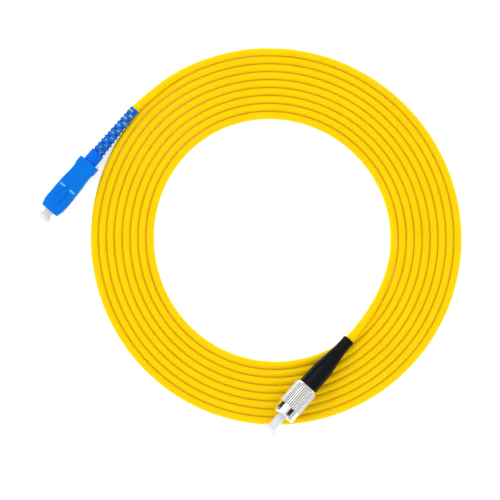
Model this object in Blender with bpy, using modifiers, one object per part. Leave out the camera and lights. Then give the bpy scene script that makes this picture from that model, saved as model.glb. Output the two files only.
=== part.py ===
"""Simplex fibre optic patch cord: a flat coil of 3 mm yellow cord with an SC plug and an FC plug.

The cord lies on the plane z = 0 and the origin is under the middle of the two plugs. Each plug is
modelled on an axis of its own, an empty: +Z runs from the front face back along the cable, +X
across the plug and +Y up. Lengths are in millimetres until they are multiplied by MM.
"""

import math

import bmesh
import bpy
from mathutils import Matrix, Vector

MM = 0.001

# Cord and coil
CORD_RADIUS = 1.5
COIL_CENTRE = Vector((31.5, 12.8, 0.0))
COIL_OUTER_RADIUS = 75.5
COIL_INNER_RADIUS = 47.3
COIL_EDGE_ROUNDING = 1.4
COIL_STEPS = 56
LEAD_POINT_SPACING = 5.0
FACE_GAP = 0.3

# Routes of the two leads round the coil's centre: angle in degrees, radius, height of the cord's middle
SC_LEAD_ROUTE = ((134.4, 75.80, 3.67), (130.5, 75.72, 3.48), (125.5, 75.68, 2.98), (120.5, 75.64, 2.38),
                 (115.5, 75.56, 1.86), (110.5, 75.40, 1.58), (105.5, 75.16, 1.51), (101.0, 74.92, 1.51))
FC_LEAD_ROUTE = ((309.6, 49.74, 5.42), (313.2, 49.30, 4.98), (318.0, 48.86, 4.22), (324.0, 48.50, 3.24),
                 (330.0, 48.33, 2.36), (336.0, 48.24, 1.79), (342.0, 48.21, 1.55), (348.0, 48.24, 1.52))

# Plug axes from the coil's centre: middle of the front face, heading and fall towards the cable in degrees
SC_FRONT = Vector((-89.42, 11.26, 3.7))
SC_HEADING = 49.9
SC_FALL = 0.0
FC_FRONT = Vector((3.3, -70.3, 9.87))
FC_HEADING = 48.4
FC_FALL = 5.9

# Turned pieces: number of facets
FACETS = 20
NUT_FACETS = 40
BUFFER_FACETS = 10

# SC plug
GRIP_HALF_WIDTHS = ((0.0, 3.75), (3.0, 4.5), (9.5, 4.5), (14.0, 4.35), (18.0, 4.0), (20.5, 4.0),
                    (22.3, 4.4), (24.8, 4.4))
GRIP_HALF_HEIGHTS = ((0.0, 3.45), (2.0, 3.7), (24.8, 3.7))
GRIP_CAVITY = (6.6, 6.2)
GRIP_CAVITY_END = 21.3
GRIP_REAR_BORE_RADIUS = 3.15
GRIP_TRAVEL = 2.0
KEY_RIDGE_WIDTH = 2.2
KEY_RIDGE_TOP = 4.4
KEY_RIDGE_SPAN = (3.5, 11.0)
SIDE_WINDOW_HEIGHT = 4.0
SIDE_WINDOW_SPAN = (4.5, 9.5)
FRAME_SIDES = (6.2, 5.9)
FRAME_SPAN = (0.5, 20.5)
LATCH_WIDTH_OVER_EARS = 7.8
LATCH_HEIGHT = 2.4
LATCH_SPAN = (7.0, 9.0)
SC_BOOT_END = 52.8
BOOT_SLOT_START = 30.4
BOOT_SLOT_PITCH = 1.91
BOOT_SLOT_COUNT = 12
BOOT_SLOT_LENGTH = 0.8
BOOT_SLOT_WIDTH = 3.1
BOOT_SLOT_LEAN = 35.0

# FC plug
NUT_WINDOW_WIDTH = 1.9
NUT_WINDOW_SPAN = (1.2, 4.6)
NUT_WINDOW_ANGLES = (96.0, 33.0)
FC_KEY_WIDTH = 2.0
FC_KEY_TOP = 3.4
FC_KEY_SPAN = (1.6, 5.6)
FC_BOOT_END = 40.4

# Springs in both plugs
SPRING_RADIUS = 1.75
SPRING_WIRE_RADIUS = 0.22
SPRING_TURNS = 5
SPRING_POINTS_PER_TURN = 10

# Materials: red, green, blue, roughness, metallic
YELLOW_PVC = (0.95, 0.66, 0.01, 0.45, 0.0)
BLUE_PLASTIC = (0.0, 0.2, 0.9, 0.4, 0.0)
BLUE_RUBBER = (0.0, 0.15, 0.85, 0.55, 0.0)
BLACK_RUBBER = (0.012, 0.012, 0.015, 0.5, 0.0)
CLEAR_PLASTIC = (0.85, 0.87, 0.88, 0.35, 0.0)
CERAMIC = (0.9, 0.9, 0.87, 0.15, 0.0)
WHITE_PLASTIC = (0.85, 0.85, 0.83, 0.45, 0.0)
NICKEL = (0.66, 0.64, 0.6, 0.25, 1.0)
BRASS = (0.75, 0.55, 0.25, 0.35, 1.0)
STEEL = (0.55, 0.56, 0.58, 0.3, 1.0)
ALUMINIUM = (0.7, 0.7, 0.72, 0.4, 1.0)
ARAMID = (0.8, 0.62, 0.2, 0.8, 0.0)


def new_collection(name):
    """Makes a collection in the scene."""
    collection = bpy.data.collections.new(name)
    bpy.context.scene.collection.children.link(collection)
    return collection


def add_object(name, data, collection, axis=None, colour=None):
    """Links an object under an axis. One with a colour gets a material; one without is a hidden cutter."""
    obj = bpy.data.objects.new(name, data)
    collection.objects.link(obj)
    obj.parent = axis
    if colour:
        material = bpy.data.materials.new(name)
        material.use_nodes = True
        shader = material.node_tree.nodes["Principled BSDF"]
        shader.inputs["Base Color"].default_value = (*colour[:3], 1.0)
        shader.inputs["Roughness"].default_value = colour[3]
        shader.inputs["Metallic"].default_value = colour[4]
        data.materials.append(material)
    else:
        obj.hide_render = True
        obj.display_type = "WIRE"
    return obj


def plug_axis(name, collection, front, heading, fall):
    """An empty at a plug's front face: +Z back along the plug, +Y up. Fall lowers the cable end."""
    empty = bpy.data.objects.new(name, None)
    collection.objects.link(empty)
    empty.rotation_euler = (math.radians(90 + fall), 0.0, math.radians(90 + heading))
    empty.location = (COIL_CENTRE + front) * MM
    bpy.context.view_layer.update()
    return empty


def turned(name, collection, outer, bore=(), facets=FACETS, axis=None, colour=None):
    """A turned piece. Outer and bore list (distance behind the front, radius) from front to rear."""
    profile = [*bore, *reversed(outer)]
    edges = [(i, i + 1) for i in range(len(profile) - 1)]
    if min(radius for _, radius in profile) > 0:
        edges.append((len(profile) - 1, 0))
    mesh = bpy.data.meshes.new(name)
    mesh.from_pydata([(radius * MM, 0.0, place * MM) for place, radius in profile], edges, [])
    obj = add_object(name, mesh, collection, axis, colour)
    screw = obj.modifiers.new("turn", "SCREW")
    screw.axis = "Z"
    screw.angle = 2 * math.pi
    screw.steps = screw.render_steps = facets
    screw.use_merge_vertices = True
    screw.merge_threshold = 1e-6
    screw.use_smooth_shade = True
    return obj


def sleeve(name, collection, inner, outer, span, facets=FACETS, axis=None, colour=None):
    """A plain tube."""
    return turned(name, collection, [(place, outer) for place in span], [(place, inner) for place in span],
                  facets, axis, colour)


def rod(name, collection, radius, span, facets=FACETS, axis=None, colour=None):
    """A plain round rod."""
    return turned(name, collection, [(span[0], 0.0), (span[0], radius), (span[1], radius), (span[1], 0.0)],
                  (), facets, axis, colour)


def blocks(name, collection, boxes, axis=None, colour=None):
    """Boxes in one mesh, each (size x, size y, span along the plug, offset to +Y, turn about the axis)."""
    cage = bmesh.new()
    for width, height, span, offset, turn in boxes:
        place = (Matrix.Rotation(math.radians(turn), 4, "Z")
                 @ Matrix.Translation(Vector((0.0, offset, (span[0] + span[1]) / 2)) * MM)
                 @ Matrix.Diagonal((width * MM, height * MM, (span[1] - span[0]) * MM, 1.0)))
        bmesh.ops.create_cube(cage, size=1.0, matrix=place)
    mesh = bpy.data.meshes.new(name)
    cage.to_mesh(mesh)
    cage.free()
    return add_object(name, mesh, collection, axis, colour)


def wire(name, collection, points, radius, resolution=2, axis=None, colour=None):
    """A round wire or cord along points in millimetres, with filled ends."""
    curve = bpy.data.curves.new(name, "CURVE")
    curve.dimensions = "3D"
    curve.bevel_depth = radius * MM
    curve.bevel_resolution = resolution
    curve.render_resolution_u = 0
    curve.use_fill_caps = True
    spline = curve.splines.new("POLY")
    spline.points.add(len(points) - 1)
    for point, place in zip(spline.points, points):
        point.co = (*(Vector(place) * MM), 1.0)
    return add_object(name, curve, collection, axis, colour)


def to_mesh(curve_object, collection, turn=Matrix(), axis=None, colour=None):
    """Replaces a curve object by the mesh it draws, welded and turned."""
    bpy.context.view_layer.update()
    graph = bpy.context.evaluated_depsgraph_get()
    mesh = bpy.data.meshes.new_from_object(curve_object.evaluated_get(graph))
    mesh.materials.clear()
    cage = bmesh.new()
    cage.from_mesh(mesh)
    bmesh.ops.remove_doubles(cage, verts=cage.verts, dist=1e-6)
    bmesh.ops.transform(cage, matrix=turn, verts=cage.verts)
    bmesh.ops.recalc_face_normals(cage, faces=cage.faces)
    cage.to_mesh(mesh)
    cage.free()
    name = curve_object.name
    bpy.data.objects.remove(curve_object)
    return add_object(name, mesh, collection, axis, colour)


def outline_solid(name, collection, half_sides, depth, turn, axis=None, colour=None):
    """Extrudes an outline of (distance behind the front, half side), mirrored about the plug's axis."""
    curve = bpy.data.curves.new(name, "CURVE")
    curve.dimensions = "2D"
    curve.fill_mode = "BOTH"
    curve.extrude = depth * MM / 2
    curve.render_resolution_u = 0
    outline = [*half_sides, *((place, -side) for place, side in reversed(half_sides))]
    spline = curve.splines.new("POLY")
    spline.points.add(len(outline) - 1)
    for point, (place, side) in zip(spline.points, outline):
        point.co = (place * MM, side * MM, 0.0, 1.0)
    spline.use_cyclic_u = True
    return to_mesh(add_object(name, curve, collection), collection, turn, axis, colour)


def combine(obj, operation, *others):
    """Joins to an object, or cuts from it, every other object."""
    for other in others:
        boolean = obj.modifiers.new(other.name, "BOOLEAN")
        boolean.operation = operation
        boolean.solver = "EXACT"
        boolean.object = other
    return obj


def smooth_points(route, spacing):
    """Points about one spacing apart on a smooth curve through the points of a route."""
    ends = [2 * route[0] - route[1], *route, 2 * route[-1] - route[-2]]
    fine = []
    for before, start, end, after in zip(ends, ends[1:], ends[2:], ends[3:]):
        for t in (step / 20 for step in range(20)):
            fine.append(0.5 * (2 * start + (end - before) * t
                               + (2 * before - 5 * start + 4 * end - after) * t ** 2
                               + (3 * start - before - 3 * end + after) * t ** 3))
    fine.append(route[-1])
    lengths = [0.0]
    for start, end in zip(fine, fine[1:]):
        lengths.append(lengths[-1] + (end - start).length)
    count = round(lengths[-1] / spacing)
    points = []
    for wanted in (lengths[-1] * i / count for i in range(count + 1)):
        nearest = min(range(len(fine)), key=lambda i: abs(lengths[i] - wanted))
        points.append(fine[nearest])
    return points


def lead_points(axis, boot_end, route):
    """The middle line of a lead, from a gap behind the boot to the coil."""
    behind_boot = [axis.matrix_world @ Vector((0.0, 0.0, (boot_end + FACE_GAP) * MM)) / MM]
    round_coil = [COIL_CENTRE + Vector((radius * math.cos(math.radians(angle)),
                                        radius * math.sin(math.radians(angle)), height))
                  for angle, radius, height in route]
    return smooth_points(behind_boot + round_coil, LEAD_POINT_SPACING)


def make_lead(name, parts, points):
    """A lead that stops a gap short of the coil's end wall."""
    last = points[-1] + (points[-2] - points[-1]).normalized() * FACE_GAP
    return wire(name, parts, [*points[:-1], last], CORD_RADIUS, colour=YELLOW_PVC)


def make_lead_channel(name, cutters, points):
    """The room that the coil leaves for a lead. It starts ahead of the lead, over the boot."""
    first = points[0] - (points[1] - points[0])
    return to_mesh(wire(name, cutters, [first, *points], CORD_RADIUS + FACE_GAP, 4), cutters)


def make_coil(parts, channels):
    """The coiled turns as one turned ring with rounded edges and room for the leads and the SC plug."""
    rounding = [(COIL_EDGE_ROUNDING * (1 - math.cos(angle)), COIL_EDGE_ROUNDING * (1 - math.sin(angle)))
                for angle in (math.radians(degrees) for degrees in (90, 60, 30, 0))]
    height = 2 * CORD_RADIUS
    edge = [(rise, inset) for inset, rise in rounding]
    half = [(rise, COIL_OUTER_RADIUS - inset) for rise, inset in edge]
    outer = half + [(height - rise, radius) for rise, radius in reversed(half)]
    inner = [(rise, COIL_OUTER_RADIUS + COIL_INNER_RADIUS - radius) for rise, radius in outer]
    coil = turned("cable_coil", parts, outer, inner, COIL_STEPS, colour=YELLOW_PVC)
    coil.location = COIL_CENTRE * MM
    return combine(coil, "DIFFERENCE", *channels)


def make_spring(name, parts, axis, start, end):
    """An open compression spring."""
    count = SPRING_TURNS * SPRING_POINTS_PER_TURN
    points = []
    for i in range(count + 1):
        angle = 2 * math.pi * i / SPRING_POINTS_PER_TURN
        points.append((SPRING_RADIUS * math.cos(angle), SPRING_RADIUS * math.sin(angle),
                       start + (end - start) * i / count))
    return wire(name, parts, points, SPRING_WIRE_RADIUS, 1, axis, STEEL)


def make_sc_housing(parts, cutters, axis):
    """The SC plug's outer grip and the frame inside it."""
    across_width = Matrix(((0, 1, 0, 0), (0, 0, 1, 0), (1, 0, 0, 0), (0, 0, 0, 1)))
    across_height = Matrix(((0, 0, -1, 0), (0, 1, 0, 0), (1, 0, 0, 0), (0, 0, 0, 1)))
    grip = outline_solid("sc_grip", parts, GRIP_HALF_WIDTHS, 12.0, across_width, axis, BLUE_PLASTIC)
    combine(grip, "INTERSECT",
            outline_solid("grip_height", cutters, GRIP_HALF_HEIGHTS, 12.0, across_height, axis))
    ridge = blocks("grip_key_ridge", cutters,
                   [(KEY_RIDGE_WIDTH, 1.0, KEY_RIDGE_SPAN, KEY_RIDGE_TOP - 0.5, 0.0)], axis)
    combine(grip, "UNION", ridge)
    combine(grip, "DIFFERENCE",
            blocks("grip_cavity", cutters, [(*GRIP_CAVITY, (-1.0, GRIP_CAVITY_END), 0.0, 0.0)], axis),
            rod("grip_rear_bore", cutters, GRIP_REAR_BORE_RADIUS, (GRIP_CAVITY_END - 0.8, 26.0), axis=axis),
            blocks("grip_windows", cutters, [(12.0, SIDE_WINDOW_HEIGHT, SIDE_WINDOW_SPAN, 0.0, 0.0)], axis))

    frame = blocks("sc_plug_frame", parts, [(*FRAME_SIDES, FRAME_SPAN, 0.0, 0.0)], axis, WHITE_PLASTIC)
    combine(frame, "UNION",
            blocks("frame_ears", cutters, [(LATCH_WIDTH_OVER_EARS, LATCH_HEIGHT, LATCH_SPAN, 0.0, 0.0)], axis))
    combine(frame, "DIFFERENCE",
            turned("frame_bore", cutters,
                   [(-1.0, 0.0), (-1.0, 2.35), (7.6, 2.35), (7.6, 1.45), (8.8, 1.45), (8.8, 2.42),
                    (22.0, 2.42), (22.0, 0.0)], axis=axis))


def make_sc_inside(parts, axis):
    """The SC plug's ferrule, spring and crimp pieces."""
    turned("sc_ferrule", parts, [(-1.2, 0.0), (-1.2, 0.9), (-0.8, 1.25), (11.9, 1.25), (11.9, 0.0)],
           axis=axis, colour=CERAMIC)
    turned("sc_ferrule_flange", parts, [(8.95, 1.9), (9.3, 2.2), (11.4, 2.2), (11.6, 1.35), (14.5, 1.35)],
           [(8.95, 1.3), (12.0, 1.3), (12.0, 0.5), (14.5, 0.5)], axis=axis, colour=NICKEL)
    make_spring("sc_spring", parts, axis, 11.9, 17.6)
    turned("sc_rear_body", parts, [(18.0, 2.35), (21.8, 2.35), (22.0, 1.75), (27.0, 1.75)],
           [(18.0, 1.0), (27.0, 1.0)], axis=axis, colour=BRASS)
    sleeve("sc_guide_tube", parts, 0.55, 0.8, (14.7, 21.5), axis=axis, colour=WHITE_PLASTIC)
    rod("sc_buffer", parts, 0.45, (12.2, 33.0), BUFFER_FACETS, axis, YELLOW_PVC)
    sleeve("sc_aramid_yarn", parts, 1.83, 1.95, (22.9, 27.1), axis=axis, colour=ARAMID)
    turned("sc_crimp_sleeve", parts, [(22.6, 2.25), (27.4, 2.25), (27.9, 1.9), (29.4, 1.9)],
           [(22.6, 2.02), (27.2, 2.02), (27.7, 1.58), (29.4, 1.58)], axis=axis, colour=ALUMINIUM)
    sleeve("sc_jacket_end", parts, 1.0, 1.5, (28.3, 52.5), axis=axis, colour=YELLOW_PVC)


def make_sc_boot(parts, cutters, axis):
    """The SC plug's strain relief. Each ring of it has two slots, leaning to one side and then the other."""
    boot = turned("sc_boot", parts, [(23.6, 2.85), (29.3, 2.85), (29.5, 2.5), (SC_BOOT_END, 1.85)],
                  [(23.6, 2.4), (27.6, 2.4), (28.1, 2.0), (29.6, 2.0), (29.9, 1.6), (SC_BOOT_END, 1.6)],
                  axis=axis, colour=BLUE_RUBBER)
    slots = []
    for i in range(BOOT_SLOT_COUNT):
        middle = BOOT_SLOT_START + BOOT_SLOT_PITCH * i
        span = (middle - BOOT_SLOT_LENGTH / 2, middle + BOOT_SLOT_LENGTH / 2)
        slots.append((BOOT_SLOT_WIDTH, 8.0, span, 0.0, BOOT_SLOT_LEAN if i % 2 == 0 else -BOOT_SLOT_LEAN))
    return combine(boot, "DIFFERENCE", blocks("boot_slots", cutters, slots, axis))


def make_sc_cap(parts, axis):
    """The soft cap on the SC ferrule."""
    turned("sc_dust_cap", parts,
           [(-5.0, 0.0), (-5.0, 2.6), (-4.7, 2.95), (-3.2, 2.95), (-3.0, 2.0), (6.0, 1.85)],
           [(-2.2, 0.0), (-2.2, 1.32), (6.0, 1.32)], axis=axis, colour=CLEAR_PLASTIC)


def make_fc_nut(parts, cutters, axis):
    """The FC plug's coupling nut, with two opposite pairs of windows near its front."""
    nut = turned("fc_coupling_nut", parts,
                 [(0.0, 4.35), (0.4, 4.85), (4.9, 4.85), (5.2, 5.0), (14.4, 5.0), (15.2, 4.5)],
                 [(0.0, 4.0), (0.4, 3.72), (6.5, 3.72), (6.9, 4.1), (12.9, 4.1), (13.2, 3.35), (15.2, 3.35)],
                 NUT_FACETS, axis, NICKEL)
    windows = [(NUT_WINDOW_WIDTH, 14.0, NUT_WINDOW_SPAN, 0.0, angle - 90.0) for angle in NUT_WINDOW_ANGLES]
    for i, window in enumerate(windows):
        combine(nut, "DIFFERENCE", blocks(f"nut_windows_{i + 1}", cutters, [window], axis))
    return nut


def make_fc_body(parts, cutters, axis):
    """The FC plug's body: keyed front sleeve and the collar that the nut pulls on."""
    body = turned("fc_plug_body", parts,
                  [(1.6, 2.75), (1.9, 2.95), (9.3, 2.95), (9.3, 3.85), (11.3, 3.85), (11.3, 3.05),
                   (18.0, 3.05)],
                  [(1.6, 2.35), (7.2, 2.35), (7.2, 1.45), (8.2, 1.45), (8.2, 2.3), (18.0, 2.3)],
                  axis=axis, colour=NICKEL)
    key = blocks("fc_key", cutters,
                 [(FC_KEY_WIDTH, FC_KEY_TOP - 2.6, FC_KEY_SPAN, (FC_KEY_TOP + 2.6) / 2, 0.0)], axis)
    return combine(body, "UNION", key)


def make_fc_inside(parts, axis):
    """The FC plug's ferrule, spring and crimp pieces."""
    turned("fc_ferrule", parts, [(0.7, 0.0), (0.7, 0.9), (1.1, 1.25), (11.2, 1.25), (11.2, 0.0)],
           axis=axis, colour=CERAMIC)
    turned("fc_ferrule_flange", parts, [(8.35, 1.9), (8.6, 2.1), (10.6, 2.1), (10.8, 1.35), (13.6, 1.35)],
           [(8.35, 1.3), (11.3, 1.3), (11.3, 0.5), (13.6, 0.5)], axis=axis, colour=NICKEL)
    make_spring("fc_spring", parts, axis, 11.1, 16.2)
    turned("fc_rear_body", parts,
           [(16.6, 2.22), (18.3, 2.22), (18.3, 3.05), (19.3, 3.05), (19.3, 1.8), (25.0, 1.8)],
           [(16.6, 1.0), (25.0, 1.0)], axis=axis, colour=BRASS)
    sleeve("fc_guide_tube", parts, 0.55, 0.8, (13.8, 20.0), axis=axis, colour=WHITE_PLASTIC)
    rod("fc_buffer", parts, 0.45, (11.5, 32.0), BUFFER_FACETS, axis, YELLOW_PVC)
    sleeve("fc_aramid_yarn", parts, 1.88, 2.02, (19.9, 25.0), axis=axis, colour=ARAMID)
    turned("fc_crimp_sleeve", parts, [(19.7, 2.35), (25.3, 2.35), (25.8, 1.95), (28.2, 1.95)],
           [(19.7, 2.1), (25.1, 2.1), (25.6, 1.58), (28.2, 1.58)], axis=axis, colour=ALUMINIUM)
    sleeve("fc_jacket_end", parts, 1.0, 1.5, (25.9, 40.1), axis=axis, colour=YELLOW_PVC)


def make_fc_boot(parts, axis):
    """The FC plug's smooth tapered strain relief."""
    turned("fc_boot", parts,
           [(15.5, 4.05), (22.8, 4.0), (25.2, 3.85), (27.6, 3.5), (30.0, 3.2), (32.4, 2.85), (34.4, 2.55),
            (37.4, 2.4), (FC_BOOT_END, 2.4)],
           [(15.5, 3.2), (19.6, 3.2), (20.0, 2.5), (26.0, 2.5), (26.5, 2.05), (28.5, 2.05), (28.9, 1.6),
            (FC_BOOT_END, 1.6)], axis=axis, colour=BLACK_RUBBER)


def make_fc_cap(parts, axis):
    """The long soft cap on the FC ferrule."""
    turned("fc_dust_cap", parts,
           [(-8.5, 0.0), (-8.5, 1.5), (-8.1, 3.15), (-6.6, 3.15), (-6.5, 1.85), (5.8, 1.75)],
           [(-5.5, 0.0), (-5.5, 1.32), (5.8, 1.32)], axis=axis, colour=CLEAR_PLASTIC)


def main():
    """Builds the patch cord."""
    for obj in list(bpy.data.objects):
        bpy.data.objects.remove(obj)
    parts = new_collection("fiber_optic_patch_cord")
    cutters = new_collection("cutters")

    sc = plug_axis("sc_axis", parts, SC_FRONT, SC_HEADING, SC_FALL)
    make_sc_housing(parts, cutters, sc)
    make_sc_inside(parts, sc)
    make_sc_boot(parts, cutters, sc)
    make_sc_cap(parts, sc)

    fc = plug_axis("fc_axis", parts, FC_FRONT, FC_HEADING, FC_FALL)
    make_fc_nut(parts, cutters, fc)
    make_fc_body(parts, cutters, fc)
    make_fc_inside(parts, fc)
    make_fc_boot(parts, fc)
    make_fc_cap(parts, fc)

    sc_lead = lead_points(sc, SC_BOOT_END, SC_LEAD_ROUTE)
    fc_lead = lead_points(fc, FC_BOOT_END, FC_LEAD_ROUTE)
    make_lead("cable_lead_sc", parts, sc_lead)
    make_lead("cable_lead_fc", parts, fc_lead)
    grip_end, half_width = GRIP_HALF_WIDTHS[-1]
    grip_room = (2 * half_width + 1.0, 12.0, (5.0, grip_end + GRIP_TRAVEL + 0.5), 0.0, 0.0)
    make_coil(parts, (make_lead_channel("sc_lead_channel", cutters, sc_lead),
                      make_lead_channel("fc_lead_channel", cutters, fc_lead),
                      rod("sc_boot_channel", cutters, 2.8, (26.5, SC_BOOT_END + 0.5), axis=sc),
                      blocks("sc_grip_room", cutters, [grip_room], sc)))


main()
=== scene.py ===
"""Looks of a simplex fibre optic patch cord: a flat coil of yellow cord with an SC and an FC plug.

Sizes are in millimetres and are multiplied by MM where a mesh is made. Each plug has an axis of its
own: local +Z runs from the front face back along the cable, +X across the plug and +Y up.
"""

import logging
import math
from dataclasses import dataclass, field
from enum import Enum
from typing import Callable, Iterable, Sequence

import bmesh
import bpy
from mathutils import Matrix, Vector

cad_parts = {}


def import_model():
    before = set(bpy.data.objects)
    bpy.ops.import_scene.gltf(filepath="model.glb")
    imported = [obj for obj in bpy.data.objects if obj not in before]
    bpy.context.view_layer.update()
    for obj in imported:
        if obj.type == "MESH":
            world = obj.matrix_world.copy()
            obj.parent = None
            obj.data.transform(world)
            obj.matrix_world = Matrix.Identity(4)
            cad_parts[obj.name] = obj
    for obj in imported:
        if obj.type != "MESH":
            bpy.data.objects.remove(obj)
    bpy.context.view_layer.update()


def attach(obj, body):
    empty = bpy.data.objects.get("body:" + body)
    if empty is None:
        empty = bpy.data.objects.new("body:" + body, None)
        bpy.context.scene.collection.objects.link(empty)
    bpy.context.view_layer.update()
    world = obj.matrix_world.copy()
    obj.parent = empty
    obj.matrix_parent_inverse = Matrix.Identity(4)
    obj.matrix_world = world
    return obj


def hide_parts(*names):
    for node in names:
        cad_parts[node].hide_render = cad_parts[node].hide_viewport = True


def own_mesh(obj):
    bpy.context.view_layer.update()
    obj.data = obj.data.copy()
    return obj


MM = 0.001
TURN = 2 * math.pi
FILLET_SHARE = 0.4
LOG = logging.getLogger("patch_cord")

Profile = Sequence[tuple[float, float]]
Box = tuple[float, float, tuple[float, float], float, float]


class Body(Enum):
    """The rigid bodies that pieces ride on."""

    CORD = "cord"
    SC_HOUSING = "sc_housing"
    SC_FERRULE = "sc_ferrule_set"
    SC_CAP = "sc_cap"
    FC_NUT = "fc_nut"
    FC_FERRULE = "fc_ferrule_set"
    FC_CAP = "fc_cap"


# Colours and node trees


def linear(hex_colour: str) -> tuple[float, float, float, float]:
    """Turns an sRGB hex colour into linear red, green, blue and an alpha of one.

    Args:
        hex_colour: six hex digits.

    Returns:
        The linear colour.
    """
    channels = [int(hex_colour[i:i + 2], 16) / 255 for i in (0, 2, 4)]
    red, green, blue = (c / 12.92 if c <= 0.04045 else ((c + 0.055) / 1.055) ** 2.4 for c in channels)
    return red, green, blue, 1.0


def add_node(tree: bpy.types.NodeTree, kind: str, **values: object) -> bpy.types.Node:
    """Adds a node and sets it up.

    Args:
        tree: the node tree.
        kind: the node's type name.
        values: node properties, or input sockets by name with spaces as underscores. A value that is
            a socket is linked instead.

    Returns:
        The node.
    """
    node = tree.nodes.new(kind)
    sockets = {socket.name.replace(" ", "_"): socket for socket in reversed(node.inputs)}
    for name, value in values.items():
        if isinstance(value, bpy.types.NodeSocket):
            tree.links.new(value, sockets[name])
        elif name in sockets:
            sockets[name].default_value = value
        else:
            setattr(node, name, value)
    return node


@dataclass(frozen=True)
class Finish:
    """A surface: what it is made of and how it was made.

    Grain is the size of the fine pattern and mottle of the slow one, both in millimetres. Relief is
    the depth of the fine pattern in millimetres.
    """

    name: str
    colour: str
    shade: str
    roughness: float
    roughness_spread: float
    grain: float
    mottle: float
    relief: float
    metallic: float = 0.0
    stretch: tuple[float, float, float] = (1.0, 1.0, 1.0)
    sockets: dict[str, float | tuple[float, ...]] = field(default_factory=dict)

    def material(self) -> bpy.types.Material:
        """The finish as a material, made once.

        Returns:
            The material.
        """
        made = bpy.data.materials.get(self.name)
        if made:
            return made
        made = bpy.data.materials.new(self.name)
        made.use_nodes = True
        tree = made.node_tree
        shader = tree.nodes["Principled BSDF"]
        place = add_node(tree, "ShaderNodeTexCoord").outputs["Object"]
        stretched = add_node(tree, "ShaderNodeMapping", Vector=place, Scale=self.stretch).outputs["Vector"]
        fine = add_node(tree, "ShaderNodeTexNoise", Vector=stretched, Scale=1000 / self.grain, Detail=3.0)
        slow = add_node(tree, "ShaderNodeTexNoise", Vector=place, Scale=1000 / self.mottle, Detail=2.0)
        tint = add_node(tree, "ShaderNodeValToRGB", Fac=slow.outputs["Fac"])
        for stop, position, colour in zip(tint.color_ramp.elements, (0.3, 0.7), (self.shade, self.colour)):
            stop.position, stop.color = position, linear(colour)
        gloss = add_node(tree, "ShaderNodeMapRange", Value=fine.outputs["Fac"], From_Min=0.3, From_Max=0.7,
                         To_Min=self.roughness - self.roughness_spread,
                         To_Max=self.roughness + self.roughness_spread)
        bump = add_node(tree, "ShaderNodeBump", Height=fine.outputs["Fac"], Strength=0.6,
                        Distance=self.relief * MM)
        tree.links.new(tint.outputs["Color"], shader.inputs["Base Color"])
        tree.links.new(gloss.outputs["Result"], shader.inputs["Roughness"])
        tree.links.new(bump.outputs["Normal"], shader.inputs["Normal"])
        shader.inputs["Metallic"].default_value = self.metallic
        for socket, value in self.sockets.items():
            shader.inputs[socket].default_value = value
        return made


# Extruded plasticised PVC: even strong yellow with a satin skin, a little light carried under it
JACKET_PVC = Finish("extruded_yellow_pvc", "F2CE00", "EFCA00", 0.45, 0.06, 0.7, 12.0, 0.008,
                    sockets={"Subsurface Weight": 0.8, "Subsurface Radius": (1.0, 0.8, 0.1),
                             "Subsurface Scale": 0.0016, "IOR": 1.53, "Specular IOR Level": 0.05})
# Injection-moulded PBT: clear blue with a fine spark-eroded grain, so the light breaks up softly
HOUSING_PBT = Finish("moulded_blue_pbt", "0074DE", "006FD6", 0.36, 0.06, 0.25, 6.0, 0.01,
                     sockets={"IOR": 1.55, "Specular IOR Level": 0.05})
# The same PBT, glossier and in a paler blue; the pale colour is a painted highlight on the raised grip
# marks
HIGHLIGHT_PBT = Finish("polished_pale_blue_pbt", "54BCF8", "4CB4F0", 0.22, 0.04, 0.3, 3.0, 0.005,
                  sockets={"IOR": 1.55, "Specular IOR Level": 0.3})
# Moulded thermoplastic elastomer: deeper blue and softer in its highlights than the housing
BLUE_TPE = Finish("moulded_blue_tpe", "006EE6", "0066DA", 0.5, 0.05, 0.3, 4.0, 0.015,
                  sockets={"IOR": 1.5, "Specular IOR Level": 0.05})
# The same elastomer on the faces in the boot's grooves and slots: rougher, and darker blue as painted
# shade
BLUE_TPE_GROOVE_SHADE = Finish("cored_blue_tpe", "0056BE", "004EB0", 0.62, 0.05, 0.3, 4.0, 0.015,
                         sockets={"IOR": 1.5, "Specular IOR Level": 0.05})
# Moulded black elastomer: nearly black, with only a faint sheen
BLACK_TPE = Finish("moulded_black_tpe", "07080C", "040507", 0.3, 0.05, 0.35, 5.0, 0.008,
                   sockets={"IOR": 1.5, "Specular IOR Level": 0.11})
# Low-density polyethylene: milky, lets light through and has a waxy skin
MILKY_PE = Finish("moulded_milky_polyethylene", "E2E7E8", "DCE1E2", 0.34, 0.05, 0.4, 3.0, 0.01,
                  sockets={"IOR": 1.51, "Transmission Weight": 0.08, "Subsurface Weight": 0.6,
                           "Subsurface Radius": (1.0, 1.0, 1.0), "Subsurface Scale": 0.0015})
# The same with a cool violet cast from its additive
COOL_PE = Finish("moulded_cool_polyethylene", "EAECF3", "E4E6EE", 0.3, 0.05, 0.4, 3.0, 0.01,
                 sockets={"IOR": 1.51, "Transmission Weight": 0.08, "Subsurface Weight": 0.6,
                          "Subsurface Radius": (1.0, 1.0, 1.0), "Subsurface Scale": 0.0015})
# Nickel plate on turned brass: bright and faintly warm, with turning lines round the axis
NICKEL_PLATE = Finish("nickel_plated_brass", "F0EFEC", "EAE9E6", 0.2, 0.03, 0.15, 2.5, 0.0015,
                      metallic=1.0, stretch=(0.12, 0.12, 1.0))
# The same plate on the faces in the roots of the knurl: rougher, and grey as painted shade
KNURL_ROOT_SHADE_NICKEL = Finish("knurl_root_nickel", "ADABA7", "A19F9B", 0.45, 0.08, 0.2, 2.5, 0.004,
                           metallic=1.0)
# Barrel-plated nickel on the parts inside: without the nut's polish, and darkened as painted shade from
# the nut round them
SHADED_INNER_NICKEL = Finish("dull_nickel_plate", "63625F", "585754", 0.4, 0.06, 0.2, 2.5, 0.004, metallic=1.0,
                     stretch=(0.12, 0.12, 1.0))
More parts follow.
